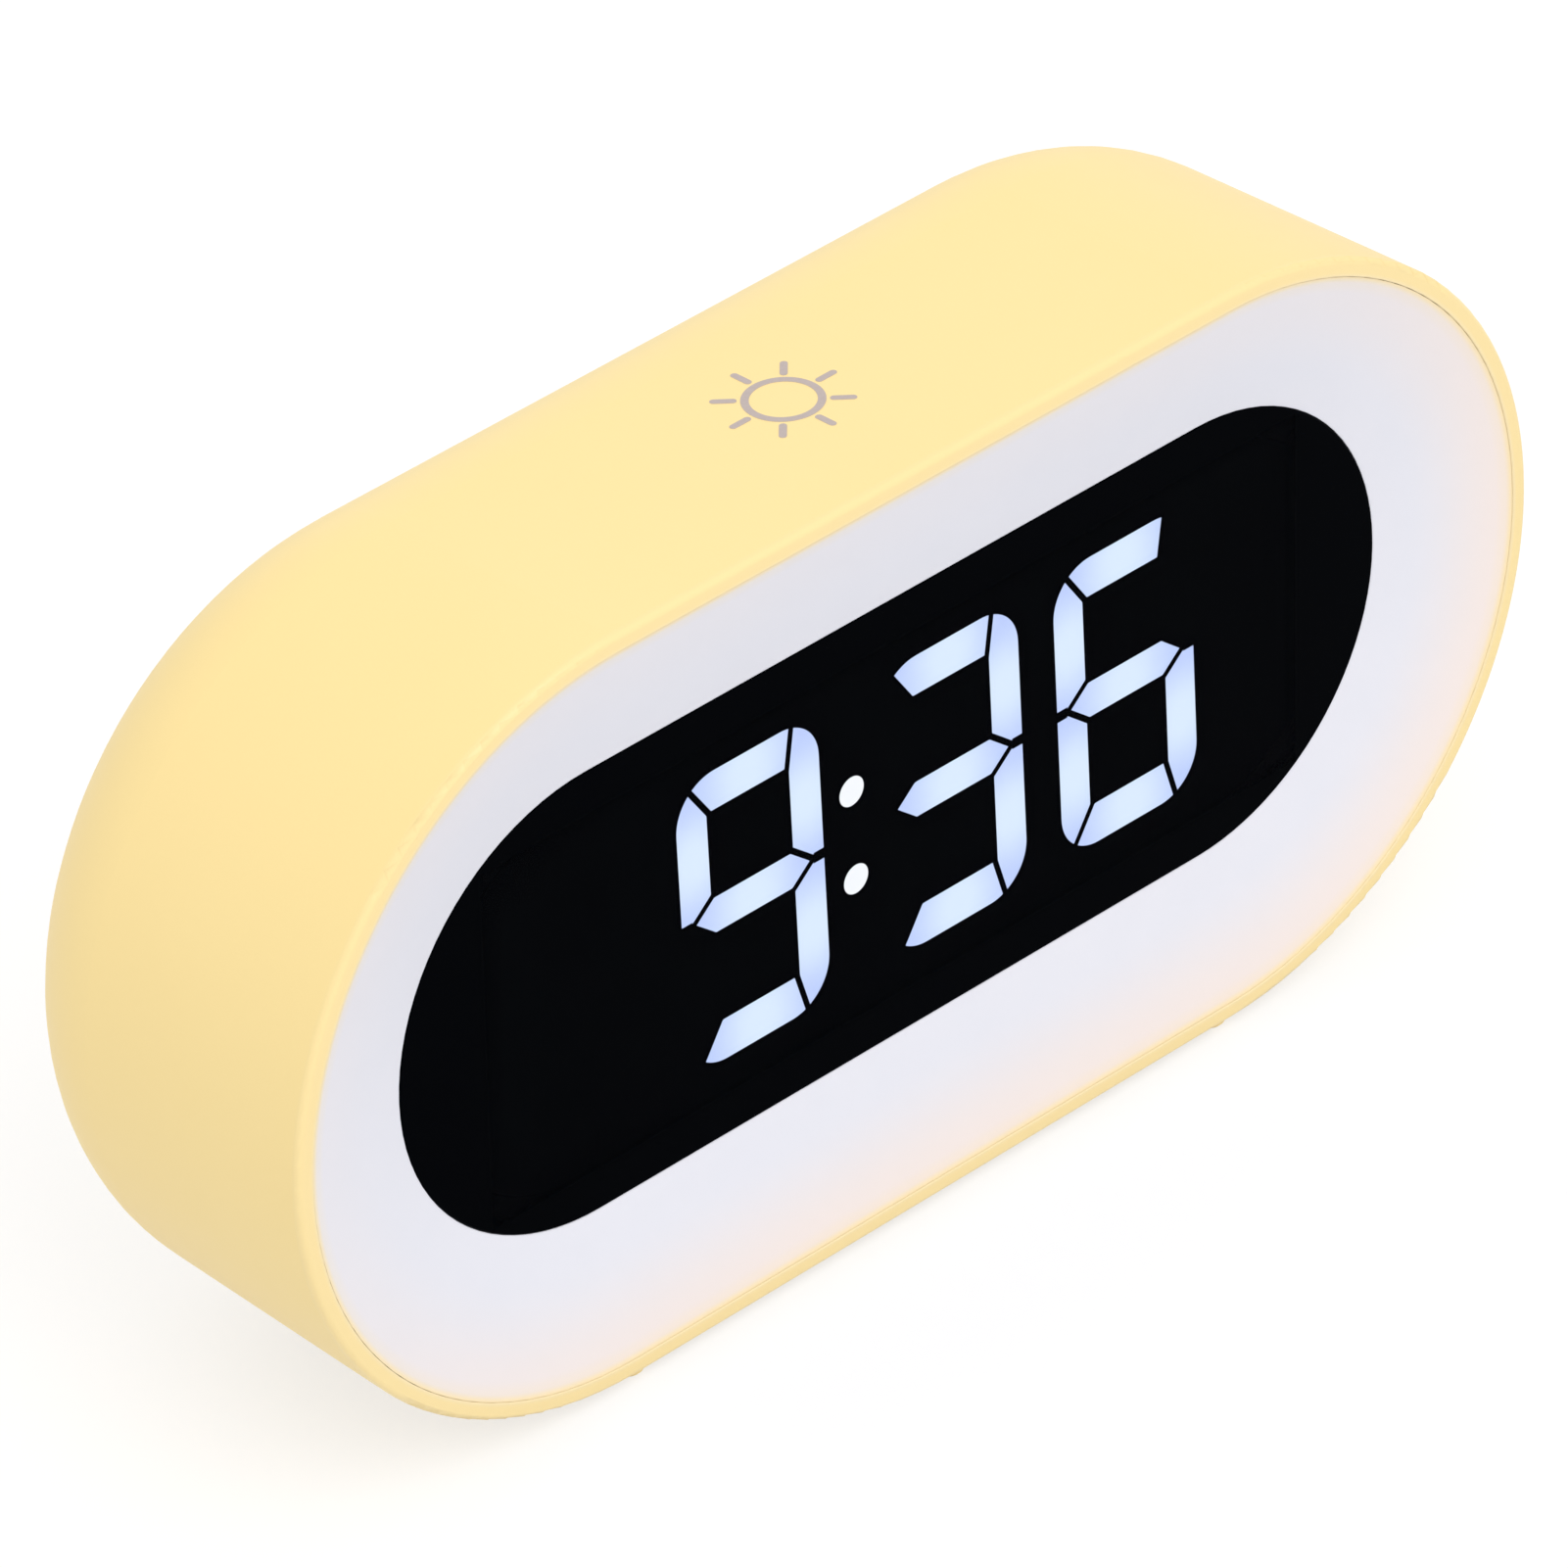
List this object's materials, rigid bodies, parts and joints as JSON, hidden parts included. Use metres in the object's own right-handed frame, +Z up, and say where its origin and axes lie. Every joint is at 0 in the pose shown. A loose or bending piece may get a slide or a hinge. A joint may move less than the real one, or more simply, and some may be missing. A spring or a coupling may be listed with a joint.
{
  "type": "night light alarm clock",
  "caption": "Pill-shaped table alarm clock with a dished night-light ring round a dark display, a touch control on top, rear push buttons and a battery bay.",
  "frame": {"origin": "on the table under the middle of the clock, halfway between its front rim and its rear face", "axes": "+X to the right seen from the front, +Y from the front to the rear, +Z up"},
  "size_m": [0.1504, 0.041, 0.0773],
  "materials": {
    "yellow_plastic": "moulded ABS, fine satin texture",
    "yellow_rubber": "soft moulded rubber",
    "milky_plastic": "milky translucent diffuser, smooth",
    "smoked_acrylic": "smoked acrylic, polished",
    "black_tape": "double-sided foam tape",
    "black_plastic": "black moulded plastic",
    "lit_resin": "milky resin, lit from behind",
    "dark_resin": "tinted resin, unlit",
    "led_white": "white diode package",
    "circuit_board": "solder mask over laminate",
    "chip_epoxy": "moulded epoxy",
    "switch_plunger": "moulded nylon",
    "plated_steel": "zinc plated",
    "brass_pin": "plated",
    "nickel_sheet": "nickel-plated spring sheet",
    "copper_foil": "bare foil",
    "white_lead": "wire insulation",
    "red_lead": "wire insulation",
    "black_lead": "wire insulation",
    "battery_sleeve": "shrink sleeve"
  },
  "bodies": {
    "clock": {"case_shell": "yellow_plastic", "rubber_feet": "yellow_rubber", "diffuser": "milky_plastic", "display_lens": "smoked_acrylic", "lens_tape": "black_tape", "display_frame": "black_plastic", "digit_reflector": "black_plastic", "lit_segments": "lit_resin", "colon_dots": "lit_resin", "dark_segments": "dark_resin", "digit_leds": "led_white", "night_light_leds": "led_white", "main_board": "circuit_board", "key_board": "circuit_board", "controller_chip": "chip_epoxy", "link_socket": "chip_epoxy", "link_header": "chip_epoxy", "switch_bodies": "chip_epoxy", "buzzer": "chip_epoxy", "usb_tongue": "chip_epoxy", "case_screws": "plated_steel", "key_board_screws": "plated_steel", "usb_socket": "plated_steel", "link_pins": "brass_pin", "contact_plates": "nickel_sheet", "contact_springs": "nickel_sheet", "touch_pad": "copper_foil", "touch_lead": "white_lead", "positive_lead": "red_lead", "negative_lead": "black_lead", "battery_1": "battery_sleeve", "battery_2": "battery_sleeve", "battery_3": "battery_sleeve"},
    "set_key": {"set_button": "yellow_plastic", "set_plunger": "switch_plunger"},
    "up_key": {"up_button": "yellow_plastic", "up_plunger": "switch_plunger"},
    "down_key": {"down_button": "yellow_plastic", "down_plunger": "switch_plunger"},
    "alarm_key": {"alarm_button": "yellow_plastic", "alarm_plunger": "switch_plunger"},
    "door": {"battery_door": "yellow_plastic"}
  },
  "joints": [
    {"name": "set_press", "type": "slide", "parent": "clock", "child": "set_key", "axis": [0, -1, 0], "range_m": [0, 0.0004], "stiffness_N_per_m": 400},
    {"name": "up_press", "type": "slide", "parent": "clock", "child": "up_key", "axis": [0, -1, 0], "range_m": [0, 0.0004], "stiffness_N_per_m": 400},
    {"name": "down_press", "type": "slide", "parent": "clock", "child": "down_key", "axis": [0, -1, 0], "range_m": [0, 0.0004], "stiffness_N_per_m": 400},
    {"name": "alarm_press", "type": "slide", "parent": "clock", "child": "alarm_key", "axis": [0, -1, 0], "range_m": [0, 0.0004], "stiffness_N_per_m": 400},
    {"name": "door_tip", "type": "hinge", "parent": "clock", "child": "door", "pos_m": [-0.017, 0.0205, 0.02112], "axis": [-1, 0, 0], "range_deg": [0, 70]}
  ]
}
